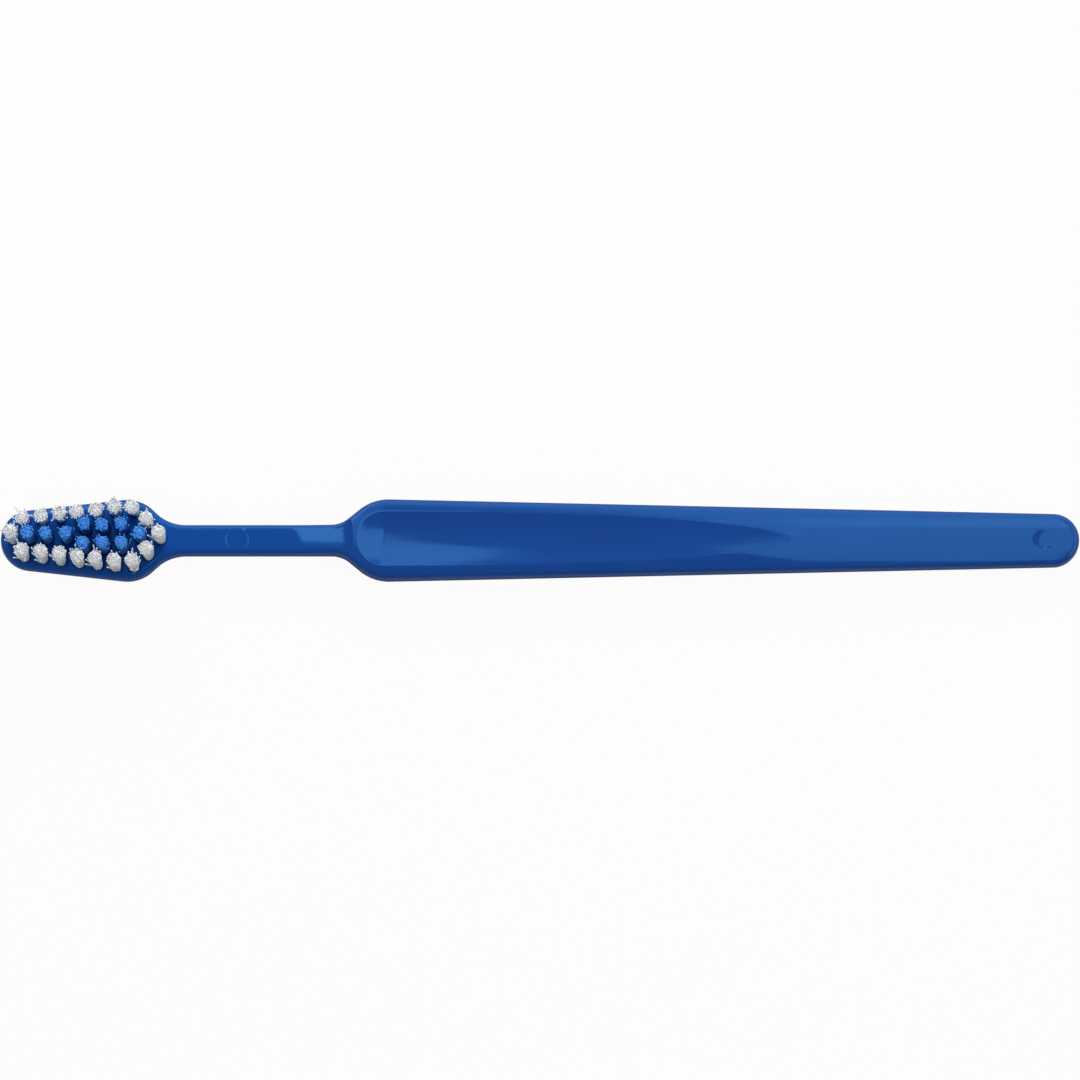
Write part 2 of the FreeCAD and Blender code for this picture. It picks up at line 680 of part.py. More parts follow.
def main():
    tufts = list(tuft_places())
    places = [place for _, _, place in tufts]
    pieces = [make_handle(places)]
    pieces += [make_tuft(name, radius, x, y) for name, radius, (x, y) in tufts]
    pieces.append(make_anchors(places))
    doc.recompute()
    check_document(pieces)
    os.makedirs("parts", exist_ok=True)
    for piece in pieces:
        piece.Shape.exportStep(f"parts/{piece.Label}.step")
        print(piece.Label, len(piece.Shape.Solids), "solid", round(piece.Shape.Volume, 1), "mm3")


main()
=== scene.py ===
"""A manual toothbrush: the moulded handle, its bristles strand by strand, and the stage.

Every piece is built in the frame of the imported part, in metres: X runs from the head to the end of
the grip, and Z points up from the flat back. The form of the moulding is worked out in millimetres,
with X from the tip of the head, and the corners of the cards are in millimetres too.
"""

import json
import math

import bmesh
import bpy
import numpy as np
from bpy.props import FloatProperty, FloatVectorProperty, IntProperty
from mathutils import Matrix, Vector

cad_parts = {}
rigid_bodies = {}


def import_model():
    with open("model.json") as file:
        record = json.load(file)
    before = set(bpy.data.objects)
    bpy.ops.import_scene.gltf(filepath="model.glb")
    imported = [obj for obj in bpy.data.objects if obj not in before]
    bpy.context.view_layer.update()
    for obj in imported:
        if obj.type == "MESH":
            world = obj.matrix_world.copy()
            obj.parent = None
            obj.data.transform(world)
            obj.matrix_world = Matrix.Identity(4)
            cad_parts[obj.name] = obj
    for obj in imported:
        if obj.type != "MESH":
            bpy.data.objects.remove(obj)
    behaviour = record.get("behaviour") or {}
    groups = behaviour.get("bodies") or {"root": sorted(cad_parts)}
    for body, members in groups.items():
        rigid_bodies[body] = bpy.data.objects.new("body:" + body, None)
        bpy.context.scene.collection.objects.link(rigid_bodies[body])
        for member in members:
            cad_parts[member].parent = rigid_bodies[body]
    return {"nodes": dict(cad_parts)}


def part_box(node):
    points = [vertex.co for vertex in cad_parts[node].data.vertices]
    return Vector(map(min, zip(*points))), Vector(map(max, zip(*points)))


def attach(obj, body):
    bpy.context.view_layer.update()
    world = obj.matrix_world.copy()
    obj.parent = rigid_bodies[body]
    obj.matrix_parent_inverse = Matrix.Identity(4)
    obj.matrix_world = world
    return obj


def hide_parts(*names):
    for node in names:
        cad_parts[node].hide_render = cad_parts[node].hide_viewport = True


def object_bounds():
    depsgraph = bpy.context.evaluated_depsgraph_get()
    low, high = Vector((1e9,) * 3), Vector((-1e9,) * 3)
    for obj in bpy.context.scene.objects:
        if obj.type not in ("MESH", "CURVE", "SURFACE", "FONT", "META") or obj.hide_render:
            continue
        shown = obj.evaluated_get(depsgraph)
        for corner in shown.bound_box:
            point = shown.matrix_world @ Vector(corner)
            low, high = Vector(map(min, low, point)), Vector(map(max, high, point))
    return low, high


bl_info = {
    "name": "Manual Toothbrush",
    "version": (1, 0, 0),
    "blender": (4, 5, 0),
    "location": "3D View > Sidebar > Toothbrush",
    "description": "Builds a moulded toothbrush with its bristles and a small photo stage",
    "category": "Object",
}

# Nothing that Blender starts with is kept
for leftover in list(bpy.data.objects):
    bpy.data.objects.remove(leftover)
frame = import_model()
CAD_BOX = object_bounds()

MM = 0.001
TUFTS = sorted(name for name in frame["nodes"] if "_tuft_" in name)


# The sizes and colours that a user would change

def length(name, description, millimetres):
    """A size in metres, given in millimetres."""
    return FloatProperty(name=name, description=description, default=millimetres * MM,
                         min=0.0, precision=6, unit="LENGTH")


def number(name, description, value, low=0.0, high=100.0):
    """A plain number."""
    return FloatProperty(name=name, description=description, default=value, min=low, max=high)


def colour(name, description, *value):
    """A colour, as light and not as screen values."""
    return FloatVectorProperty(name=name, description=description, default=value, size=3,
                               min=0.0, max=1.0, subtype="COLOR")


class ToothbrushMoulding(bpy.types.PropertyGroup):
    """The one-piece handle and head."""

    neck_half_width: length("Neck half width", "Half the width of the neck at the parting line", 2.27)
    top_round: length("Top round", "Radius of the round along the edge of the top", 0.9)
    back_round: length("Back round", "Radius of the round along the edge of the back", 1.1)
    rim_blend: length("Rim blend", "How softly the ramp runs into the grip", 0.01)
    neck_crown: length("Neck crown", "Radius of the slight crown across the neck", 40.0)
    dish_depth: length("Dish depth", "How deep the thumb rest is", 0.93)
    dish_blend: length("Dish blend", "How softly the thumb rest runs into the grip", 0.02)
    flash_height: length("Flash height", "How far the parting line stands out", 0.02)
    neck_mark_depth: length("Neck mark depth", "Depth of the round mark on the neck", 0.016)
    end_mark_depth: length("End mark depth", "Depth of the round dimple at the end", 0.2)
    hole_depth: length("Hole depth", "How far the tuft holes show below the face", 0.3)
    finest_step: length("Finest step", "Spacing of the mesh where the shape is finest", 0.135)
    plastic: colour("Plastic", "Colour of the thick grip", 0.008, 0.050, 0.255)
    plastic_thin: colour("Thin plastic", "Colour of the head and neck, which let light through",
                         0.005, 0.056, 0.29)
    cloudy: number("Cloudy", "How much darker the plastic is where pigment gathers", 0.1, 0.0, 1.0)
    gloss: number("Gloss", "Roughness of the polished plastic", 0.07, 0.0, 1.0)


class ToothbrushBristles(bpy.types.PropertyGroup):
    """The strands of all 28 tufts."""

    strand_width: length("Strand width", "Thickness of one strand", 0.21)
    strand_pitch: length("Strand pitch", "Distance between strands at the face", 0.175)
    spread: length("Spread", "How far single strands stray at the tip", 0.08)
    stray: length("Stray", "How far a stray strand leaves its tuft", 0.38)
    lean: length("Lean", "How far a whole tuft may lean at the tip", 0.12)
    far_lean: length("Far lean", "How far the row on the far side leans in at the tip", 0.45)
    core_depth: length("Core depth", "How far below the tips a tuft is closed", 0.35)
    unevenness: length("Unevenness", "How much the trimmed ends differ in height", 0.16)
    sides: IntProperty(name="Sides", description="Sides of one strand", default=6, min=3, max=16)
    seed: IntProperty(name="Seed", description="Picks one growth of bristles", default=28, min=0)
    white: colour("White strand", "Colour of the outer tufts", 0.90, 0.90, 0.91)
    # The root colours are painted shade: the strands are darker near the face, where the tufts shade one
    # another
    white_root: colour("White root", "Colour of the outer tufts near the face", 0.72, 0.76, 0.82)
    blue: colour("Blue strand", "Colour of the inner tufts", 0.05, 0.35, 0.95)
    # A painted shade too: the blue strands are darker near the face, where the tufts shade one another
    blue_root: colour("Blue root", "Colour of the inner tufts near the face", 0.015, 0.12, 0.52)


class ToothbrushStage(bpy.types.PropertyGroup):
    """Floor, lamp, sky and camera."""

    floor_size: length("Floor size", "Side of the square floor", 3000.0)
    floor: colour("Floor", "Colour of the paper floor", 0.60, 0.60, 0.60)
    window_size: length("Window size", "Side of the square lamp", 1000.0)
    window: number("Window", "Radiance of the lamp", 3.4)
    sky: number("Sky", "Strength of the light from all round", 0.52)
    distance: length("Camera distance", "From the camera to the middle of the brush", 1500.0)
    elevation: FloatProperty(name="Camera elevation", description="Height of the camera over the floor",
                             default=math.radians(83.0), subtype="ANGLE")
    aim_across: length("Aim across", "How far the camera aims beside the brush's middle line", 0.09)
    lens: number("Lens", "Focal length of the camera in millimetres", 337.0, 1.0, 1000.0)


GROUPS = {
    "toothbrush_moulding": ToothbrushMoulding,
    "toothbrush_bristles": ToothbrushBristles,
    "toothbrush_stage": ToothbrushStage,
}


# Shader maths

# Which output of its node is meant
OBJECT_POINT, ATTRIBUTE_NUMBER, CAMERA_RAY, TRANSMISSION_RAY, BACK_SIDE = 3, 2, 0, 6, 6


class Value:
    """A socket of a material, with which values are worked out as in plain Python."""

    def __init__(self, shading, socket):
        self.shading, self.socket = shading, socket

    def maths(self, operation, *others):
        """The value that one Math node gives."""
        return self.shading.node("ShaderNodeMath", {"operation": operation}, self, *others)[0]

    def __add__(self, other):
        return self.maths("ADD", other)

    def __sub__(self, other):
        return self.maths("SUBTRACT", other)

    def __rsub__(self, other):
        return (self * -1.0) + other

    def __mul__(self, other):
        return self.maths("MULTIPLY", other)

    def __truediv__(self, other):
        return self.maths("DIVIDE", other)

    __radd__, __rmul__ = __add__, __mul__

    def clamp(self):
        """The value kept between 0 and 1."""
        return self.maths("MAXIMUM", 0.0).maths("MINIMUM", 1.0)

    def between(self, low, high):
        """0 below the first number, 1 above the second, and smooth from one to the other."""
        t = ((self - low) / (high - low)).clamp()
        return t * t * (3.0 - 2.0 * t)


class Shading:
    """A new material, whose nodes all come from one method."""

    def __init__(self, name):
        self.material = bpy.data.materials.new(name)
        self.material.use_nodes = True
        self.nodes = self.material.node_tree.nodes
        self.nodes.clear()

    def node(self, kind, settings=None, *values, **named):
        """Adds a node: its settings first, then the values or links of its sockets."""
        new = self.nodes.new(kind)
        for name, setting in (settings or {}).items():
            setattr(new, name, setting)
        sockets = [s for s in new.inputs if s.enabled]
        named = {name.replace("_", " "): value for name, value in named.items()}
        pairs = list(zip(sockets, values)) + [(s, named[s.name]) for s in sockets if s.name in named]
        for socket, value in pairs:
            if isinstance(value, Value):
                self.material.node_tree.links.new(value.socket, socket)
            elif value is not None:
                socket.default_value = value
        return [Value(self, s) for s in new.outputs if s.enabled]

    def noise(self, scale, detail=3.0):
        """Cloudy values from 0 to 1, with so many clouds in a metre on each axis of the piece."""
        point = self.node("ShaderNodeTexCoord")[OBJECT_POINT]
        point = self.node("ShaderNodeVectorMath", {"operation": "MULTIPLY"}, point, scale)[0]
        return self.node("ShaderNodeTexNoise", None, point, Scale=1.0, Detail=detail)[0]

    def attribute(self, name):
        """A number kept on the mesh."""
        return self.node("ShaderNodeAttribute", {"attribute_name": name})[ATTRIBUTE_NUMBER]

    def blend(self, factor, *shades):
        """A colour between two others."""
        shades = [(*shade, 1.0) if isinstance(shade, tuple) else shade for shade in shades]
        return self.node("ShaderNodeMix", {"data_type": "RGBA"}, factor, *shades)[0]

    def bump(self, height, distance):
        """Small relief, in metres."""
        return self.node("ShaderNodeBump", None, Height=height, Distance=distance, Strength=1.0)[0]

    def glow(self, light, strength):
        """A surface that shines by itself."""
        return self.node("ShaderNodeEmission", None, Color=(*light, 1.0), Strength=strength)[0]

    def output(self, surface):
        """The finished material, with this surface."""
        self.node("ShaderNodeOutputMaterial", None, Surface=surface)
        return self.material

    def finish(self, **sockets):
        """The finished material of a plastic or a metal."""
        return self.output(self.node("ShaderNodeBsdfPrincipled", None, **sockets)[0])


# The finishes

PIGMENT = (0.01, 0.01, 0.05)
GLOSS_TINT = (0.15, 0.55, 1.0, 1.0)
BRASS, DULL_BRASS = (0.72, 0.48, 0.17), (0.52, 0.33, 0.12)
COOL_WHITE, SKY_WHITE = (0.95, 0.98, 1.0), (0.93, 0.96, 1.0)
MOULDING_IOR, NYLON_IOR = 1.49, 1.53
DARK_TIP_SHARE, STRAND_DEPTH = 0.84, 0.6 * MM
PAPER_TOOTH_SHARE, PAPER_GLOW_SHARE = 0.985, 0.955
MOULDING_RELIEF, STRAND_RELIEF, BRASS_RELIEF, PAPER_RELIEF = 0.012 * MM, 0.01 * MM, 0.006 * MM, 0.01 * MM


def polished_plastic(shape):
    """Glossy blue plastic: faint clouds of pigment, soft ripples and hair-fine rubs along it."""
    shading = Shading("polished_blue_plastic")
    clouds = shading.noise((60, 260, 260), 4.0).between(0.35, 0.72)
    flecks = shading.noise((900, 900, 900), 2.0).between(0.55, 0.8)
    rubs = shading.noise((140, 5200, 5200), 4.0).between(0.6, 0.72)
    dull = shading.noise((120, 420, 420)).between(0.4, 0.75)
    base = shading.blend(shading.attribute("thin"), tuple(shape.plastic), tuple(shape.plastic_thin))
    base = shading.blend((clouds * 0.8 + flecks * 0.2) * shape.cloudy, base, PIGMENT)
    side = shading.attribute("side").between(0.55, 0.95)
    front = shading.attribute("front").between(0.0, 1.0)
    rough = dull * 0.02 + rubs * 0.05 + flecks * 0.01 + side * 0.34 + front * 0.06 + shape.gloss
    ripple = shading.noise((240, 420, 420), 2.0)
    grain = shading.noise((3200, 3200, 3200))
    relief = ripple * 0.3 + grain * 0.05 - rubs * 0.06
    return shading.finish(Base_Color=base, Roughness=rough, Normal=shading.bump(relief, MOULDING_RELIEF),
                          IOR=MOULDING_IOR, Specular_Tint=GLOSS_TINT)


def strand_plastic(name, tip, root):
    """Nylon strands, paler from root to tip. The darker root colour is painted shade, where the tufts
    shade one another near the face. Each strand has its own random tone, and is faintly ribbed along.
    """
    shading = Shading(name)
    up = shading.attribute("up")
    own = shading.attribute("strand")
    mottle = shading.noise((1500, 1500, 700), 2.0)
    # Painted shade: the colour runs from the shaded root colour near the face to the tip colour, with a
    # little random tone
    reach = (up * 0.94 + own * 0.08 + mottle * 0.08).between(0.15, 0.98)
    base = shading.blend(reach, root, tip)
    dark = tuple(c * DARK_TIP_SHARE for c in tip)
    base = shading.blend((own * 0.35 + mottle * 0.25).between(0.18, 0.62) * 0.5, base, dark)
    rough = mottle * 0.12 + own * 0.08 + 0.38
    ribs = shading.noise((9000, 9000, 500), 2.0)
    return shading.finish(Base_Color=base, Roughness=rough, Normal=shading.bump(ribs, STRAND_RELIEF),
                          IOR=NYLON_IOR, Subsurface_Weight=0.4, Subsurface_Radius=(1, 1, 1),
                          Subsurface_Scale=STRAND_DEPTH)


def anchor_brass():
    """Stamped brass: rolled grain along the strip and dull patches."""
    shading = Shading("stamped_brass")
    patches = shading.noise((1400, 1400, 1400)).between(0.35, 0.7)
    grain = shading.noise((900, 900, 16000), 2.0)
    base = shading.blend(patches, BRASS, DULL_BRASS)
    rough = patches * 0.16 + grain * 0.10 + 0.24
    return shading.finish(Base_Color=base, Metallic=1.0, Roughness=rough,
                          Normal=shading.bump(grain, BRASS_RELIEF))


def floor_paper(stage):
    """Matt paper with its tooth. The camera sees it as nearly plain white."""
    shading = Shading("matt_paper")
    tooth = shading.noise((700, 700, 700))
    base = shading.blend(tooth.between(0.3, 0.7) * 0.3, tuple(stage.floor),
                         tuple(c * PAPER_TOOTH_SHARE for c in stage.floor))
    paper = shading.node("ShaderNodeBsdfPrincipled", None, Base_Color=base, Roughness=0.9,
                         Normal=shading.bump(tooth, PAPER_RELIEF))[0]
    glow = shading.glow((1.0, 1.0, 1.0), 1.0)
    rays = shading.node("ShaderNodeLightPath")
    seen = (rays[CAMERA_RAY] + rays[TRANSMISSION_RAY]).clamp() * PAPER_GLOW_SHARE
    return shading.output(shading.node("ShaderNodeMixShader", None, seen, paper, glow)[0])


def card_light(name, radiance):
    """White light that leaves one side only, with the other side clear."""
    shading = Shading(name)
    glow = shading.glow(COOL_WHITE, radiance)
    behind = shading.node("ShaderNodeNewGeometry")[BACK_SIDE]
    clear = shading.node("ShaderNodeBsdfTransparent")[0]
    return shading.output(shading.node("ShaderNodeMixShader", None, behind, glow, clear)[0])


# The outline of the moulding, in millimetres from the tip of the head

# From the tip of the head to the end of the grip
LENGTH = 160.0
# The round ends, and the angle at which the sides widen from each
TIP_RADIUS, FLARE = 4.45, math.radians(6.4)
END_RADIUS, TAPER = 3.93, math.radians(1.23)
# The corners of the outline, and how far each one's round reaches along its two lines
HEAD_CORNER, NECK_START, NECK_END, GRIP_CORNER = 20.7, 25.0, 50.55, 55.2
HEAD_REACHES, GRIP_REACHES = (2.59, 2.46), (1.45, 2.53)
# Spacing of the dense points
ARC_STEP, LINE_STEP, LEAST_ARC_POINTS = 0.01, 0.02, 8


def head_edge(x):
    """Half the width of the head."""
    return (x - TIP_RADIUS) * math.tan(FLARE) + TIP_RADIUS / math.cos(FLARE)


def grip_edge(x):
    """Half the width of the grip."""
    return (LENGTH - END_RADIUS - x) * math.tan(TAPER) + END_RADIUS / math.cos(TAPER)


def arc_points(centre, radius, start, end):
    """Points of an arc, each with the heading of the outline there."""
    turn = 1 if end > start else -1
    count = max(LEAST_ARC_POINTS, int(abs(end - start) * radius / ARC_STEP))
    angles = np.linspace(start, end, count)
    heading = angles + turn * math.pi / 2
    return [(centre[0] + radius * math.cos(a), centre[1] + radius * math.sin(a), h)
            for a, h in zip(angles, heading)]


def line_points(start, end):
    """Points of a straight run, each with its heading."""
    way = end - start
    heading = math.atan2(way.y, way.x)
    count = max(2, int(way.length / LINE_STEP))
    return [(*start.lerp(end, n / count), heading) for n in range(count + 1)]


def outline(shape):
    """One side of the outline from the tip to the end: dense points and headings.

    A corner is rounded by the arc that leaves its two lines at its reaches.
    """
    neck = shape.neck_half_width / MM
    corners = [Vector(c) for c in ((HEAD_CORNER, head_edge(HEAD_CORNER)), (NECK_START, neck),
                                   (NECK_END, neck), (GRIP_CORNER, grip_edge(GRIP_CORNER)))]
    first = Vector((TIP_RADIUS - TIP_RADIUS * math.sin(FLARE), TIP_RADIUS * math.cos(FLARE)))
    last = Vector((LENGTH - END_RADIUS + END_RADIUS * math.sin(TAPER), END_RADIUS * math.cos(TAPER)))
    path = arc_points((TIP_RADIUS, 0.0), TIP_RADIUS, math.pi, math.pi / 2 + FLARE)
    here = first
    stops = [first, *corners, last]
    for corner, before, after, reach in zip(corners, stops, stops[2:], (*HEAD_REACHES, *GRIP_REACHES)):
        into, out = (corner - before).normalized(), (after - corner).normalized()
        start, end = corner - into * reach, corner + out * reach
        turn = math.atan2(into.x * out.y - into.y * out.x, into.dot(out))
        radius = reach / math.tan(abs(turn) / 2)
        side = math.copysign(1, turn)
        centre = start + Vector((-into.y, into.x)) * radius * side
        path += line_points(here, start)[1:-1]
        angle = math.atan2(start.y - centre.y, start.x - centre.x)
        path += arc_points(centre, radius, angle, angle + turn)
        here = end
    path += line_points(here, last)[1:-1]
    path += arc_points((LENGTH - END_RADIUS, 0.0), END_RADIUS, math.pi / 2 - TAPER, 0.0)
    return np.array(path)


# The heights of the moulding over its flat back, and what is formed in its top

# The draft of the sides, and the heights of parting line, face, front of the grip and its end
DRAFT = math.tan(math.radians(1.5))
PARTING, FACE, RIM, END = 2.2, 4.2, 5.7, 4.4
# The radius of the crown across the grip, and the stretch in which the neck takes on its own
CROWN = 18.0
NECK_CROWN_START, NECK_CROWN_RUN = 22.0, 6.0
# The ramp: where its hollow starts, the radius of the hollow, and the slope that it ends in
RAMP_START, RAMP_HOLLOW, RAMP_SLOPE = 43.0, 30.0, math.radians(20.0)
RAMP_RUN = RAMP_HOLLOW * math.sin(RAMP_SLOPE)
# The thumb rest: its ends, its deepest place, the radius across it, and how far it may pass its ends
DISH_START, DISH_LOW, DISH_END, DISH_SECTION = 52.9, 57.0, 117.03, 18.0
DISH_BEFORE, DISH_AFTER = 1.5, 9.0
# The mark on the neck, with the fine ring round it
NECK_MARK, NECK_MARK_RADIUS, NECK_MARK_EDGE = 35.1, 1.75, 0.45
RING_HEIGHT, RING_WIDTH = 0.006, 0.13
# The dimple at the end, which may reach past its radius by a factor, and the tuft holes
END_MARK, END_MARK_RADIUS, END_MARK_BLEND, END_MARK_REACH = 155.0, 1.93, 0.04, 1.4
HOLE_RADIUS, HOLE_EDGE = 0.88, 0.18


def soft_min(a, b, blend):
    """The lower of two surfaces, with the crease between them rounded."""
    near = np.clip(1 - np.abs(a - b) / blend, 0, 1)
    return np.minimum(a, b) - blend * near ** 2 / 4


def step_down(distance, width):
    """1 inside an edge, 0 outside it, and smooth across it."""
    t = np.clip(0.5 - distance / width, 0, 1)
    return t * t * (3 - 2 * t)


def fall(radius, across):
    """How far a circle lies below its highest point, at this distance across from it."""
    return radius - np.sqrt(np.maximum(radius ** 2 - across ** 2, 0.0))


def crest(x):
    """The middle line of the grip, before the thumb rest is cut into it."""
    return RIM - (x - GRIP_CORNER) * (RIM - END) / (LENGTH - GRIP_CORNER)


def ramp(x):
    """The face of the head and neck, which curves up into a slope before the grip."""
    hollow = fall(RAMP_HOLLOW, np.clip(x - RAMP_START, 0, RAMP_RUN))
    return FACE + hollow + np.clip(x - RAMP_START - RAMP_RUN, 0, None) * math.tan(RAMP_SLOPE)


def dish(x, y, depth):
    """The thumb rest: a tight arc down to its deepest place, and a long one back up to the crest."""
    low = np.array([DISH_LOW, crest(DISH_LOW) - depth])
    edge = np.array([DISH_START, crest(DISH_START)])
    out = np.array([DISH_END, crest(DISH_END)])
    way = (out - edge) / np.linalg.norm(out - edge)
    normal = np.array([-way[1], way[0]])

    def arc_through(point):
        chord = point - low
        radius = chord @ chord / (2 * chord @ normal)
        centre = low + normal * radius
        return centre[1] - radius + fall(radius, x - centre[0])

    floor = np.where(x < low[0], arc_through(edge), arc_through(out))
    return floor + fall(low[1] + DISH_SECTION - floor, y)


def end_mark(x, y, depth):
    """The dimple near the end of the grip, pressed by a ball."""
    ball = (END_MARK_RADIUS ** 2 + depth ** 2) / (2 * depth)
    return crest(END_MARK) - depth + fall(ball, np.hypot(x - END_MARK, y))


def top_height(shape, holes, x, y):
    """The top of the moulding over each point."""
    x, y = np.asarray(x, float), np.asarray(y, float)
    crown = crest(x) - fall(CROWN, y)
    neck = np.clip((x - NECK_CROWN_START) / NECK_CROWN_RUN, 0, 1) * y ** 2 / (2 * shape.neck_crown / MM)
    top = soft_min(ramp(x) - neck, crown, shape.rim_blend / MM)
    cut = soft_min(top, dish(x, y, shape.dish_depth / MM), shape.dish_blend / MM)
    top = np.where((x > DISH_START - DISH_BEFORE) & (x < DISH_END + DISH_AFTER), cut, top)
    from_edge = np.hypot(x - NECK_MARK, y) - NECK_MARK_RADIUS
    top = top - shape.neck_mark_depth / MM * step_down(from_edge, NECK_MARK_EDGE)
    top = top + RING_HEIGHT * np.exp(-(from_edge / RING_WIDTH) ** 2)
    pressed = soft_min(top, end_mark(x, y, shape.end_mark_depth / MM), END_MARK_BLEND)
    top = np.where(np.hypot(x - END_MARK, y) < END_MARK_RADIUS * END_MARK_REACH, pressed, top)
    for hole_x, hole_y in holes:
        from_edge = np.hypot(x - hole_x, y - hole_y) - HOLE_RADIUS
        top = top - shape.hole_depth / MM * step_down(from_edge, HOLE_EDGE)
    return top


# The mesh of the moulding

# Head, neck, its mark, neck, ramp, ridge, front of the dish, dish and end of the grip: where each
# stretch starts and ends, and how many of the finest steps its stations are apart
FINE_STRETCHES = (
    (0.0, NECK_START + 1.0, 1.1),
    (NECK_START + 1.0, NECK_MARK - 2.1, 3.0),
    (NECK_MARK - 2.1, NECK_MARK + 2.4, 1.0),
    (NECK_MARK + 2.4, RAMP_START - 1.0, 3.0),
    (RAMP_START - 1.0, DISH_START - 1.6, 1.3),
    (DISH_START - 1.6, DISH_START - 0.2, 0.4),
    (DISH_START - 0.2, DISH_LOW + 3.0, 1.3),
    (DISH_LOW + 3.0, DISH_LOW + 33.0, 3.0),
    (END_MARK - 4.0, LENGTH, 1.2),
)
COARSE_STEP = 0.5
# Shares of the way from the edge of the back to its middle, and up the wall over the flash
BACK_SHARES = (1.0, 0.66, 0.33, 0.0)
WALL_SHARES = (0.34, 0.67)
BACK_ROUND_STEPS, TOP_ROUND_STEPS, TOP_STEPS = 7, 9, 46
# Heights over the parting line, and the share of the flash that stands out at each
FLASH_REACH = 0.07
FLASH_PROFILE = ((-0.5, 0), (-FLASH_REACH, 0), (-0.03, 0.7), (0, 1), (0.03, 0.7), (FLASH_REACH, 0))
# How the round along the top finds its place: where the slope is felt, its limits, and the rounds
PROBE = 0.05
LEAST_SLOPE, MOST_SLOPE = -0.2, 1.0
SETTLING_ROUNDS = 3
WELD, SLIVER = 0.001 * MM, 0.0001 * MM
# Where the thin plastic has ended, over how long a run, and the slope down into the thumb rest
THIN_END, THIN_RUN = NECK_END + 3.0, 6.0
DISH_FRONT = (DISH_START - 0.7, DISH_LOW - 0.4)


def steps_along(path, finest):
    """Picks stations along a dense path: close together where the shape is fine."""
    x, y = path[:, 0], path[:, 1]
    run = np.hypot(np.diff(x), np.diff(y))
    middle = (x[1:] + x[:-1]) / 2
    wanted = np.full(len(run), COARSE_STEP)
    for low, high, steps in FINE_STRETCHES:
        wanted[(middle >= low) & (middle < high)] = finest * steps
    count = np.concatenate([[0], np.cumsum(run / wanted)])
    stations = np.linspace(0, count[-1], int(round(count[-1])) + 1)
    return np.stack([np.interp(stations, count, column) for column in path.T], axis=1)


def top_edge(height, ring, flash, top_round):
    """The centre of the round along the edge of the top: its height, the slope there and its inset."""
    centre = height(*ring(top_round)) - top_round
    for _ in range(SETTLING_ROUNDS):
        inset = flash + (centre - PARTING) * DRAFT + top_round
        slope = (height(*ring(inset + PROBE)) - height(*ring(inset - PROBE))) / (2 * PROBE)
        slope = np.clip(slope, LEAST_SLOPE, MOST_SLOPE)
        centre = height(*ring(inset)) - top_round * np.sqrt(1 + slope ** 2)
    return centre, slope, inset


def section_rows(shape, holes, stations):
    """Rings round the moulding, from the middle of the back out and over to the middle of the top."""
    x, y, heading = stations.T
    out_x, out_y = -np.sin(heading), np.cos(heading)
    flash = shape.flash_height / MM
    top_round, back_round = shape.top_round / MM, shape.back_round / MM

    def ring(inset):
        return x - out_x * inset, y - out_y * inset

    def toward_axis(inset, share):
        px, py = ring(inset)
        axis = np.clip(px, TIP_RADIUS, LENGTH - END_RADIUS)
        return px + (axis - px) * share, py * (1 - share)

    def height(px, py):
        return top_height(shape, holes, px, py)

    rows = []
    inset = flash + (PARTING - back_round) * DRAFT + back_round
    for share in BACK_SHARES:
        rows.append((*toward_axis(inset, share), np.zeros_like(x)))
    for angle in np.linspace(0, math.pi / 2, BACK_ROUND_STEPS + 1)[1:]:
        rows.append((*ring(inset - back_round * math.sin(angle)),
                     np.full_like(x, back_round * (1 - math.cos(angle)))))
    for rise, stand_out in FLASH_PROFILE:
        rows.append((*ring(flash * (1 - stand_out) + abs(rise) * DRAFT), np.full_like(x, PARTING + rise)))
    centre, slope, inset = top_edge(height, ring, flash, top_round)
    for share in WALL_SHARES:
        rise = PARTING + FLASH_REACH + (centre - PARTING - FLASH_REACH) * share
        rows.append((*ring(flash + (rise - PARTING) * DRAFT), rise))
    full = np.arctan2(1.0, slope)
    for share in np.linspace(0, 1, TOP_ROUND_STEPS + 1):
        angle = full * share
        rows.append((*ring(inset - top_round * np.cos(angle)), centre + top_round * np.sin(angle)))
    edge = inset - top_round * np.cos(full)
    for share in np.linspace(0, 1, TOP_STEPS + 1)[1:]:
        px, py = toward_axis(edge, share)
        rows.append((px, py, height(px, py)))
    return rows


# The pieces

def new_piece(name, vertices, faces, material, slot, *nodes):
    """A smooth mesh that rides on the brush and stands for the nodes named."""
    mesh = bpy.data.meshes.new(name)
    mesh.from_pydata(vertices, [], faces)
    mesh.validate()
    mesh.shade_smooth()
    piece = bpy.data.objects.new(name, mesh)
    bpy.context.scene.collection.objects.link(piece)
    mesh.materials.append(material)
    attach(piece, "root")
    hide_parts(*nodes)
    return piece


def note(mesh, **attributes):
    """Keeps numbers on the points of a mesh, for its material."""
    for name, numbers in attributes.items():
        mesh.attributes.new(name, "FLOAT", "POINT").data.foreach_set("value", numbers)


def tuft_place(node):
    """Where a tuft leaves the face, half its width at the tip and its highest point, in metres."""
    low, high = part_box(node)
    middle = (low + high) / 2
    return Vector((middle.x, middle.y, FACE * MM)), (high.x - low.x) / 2, high.z


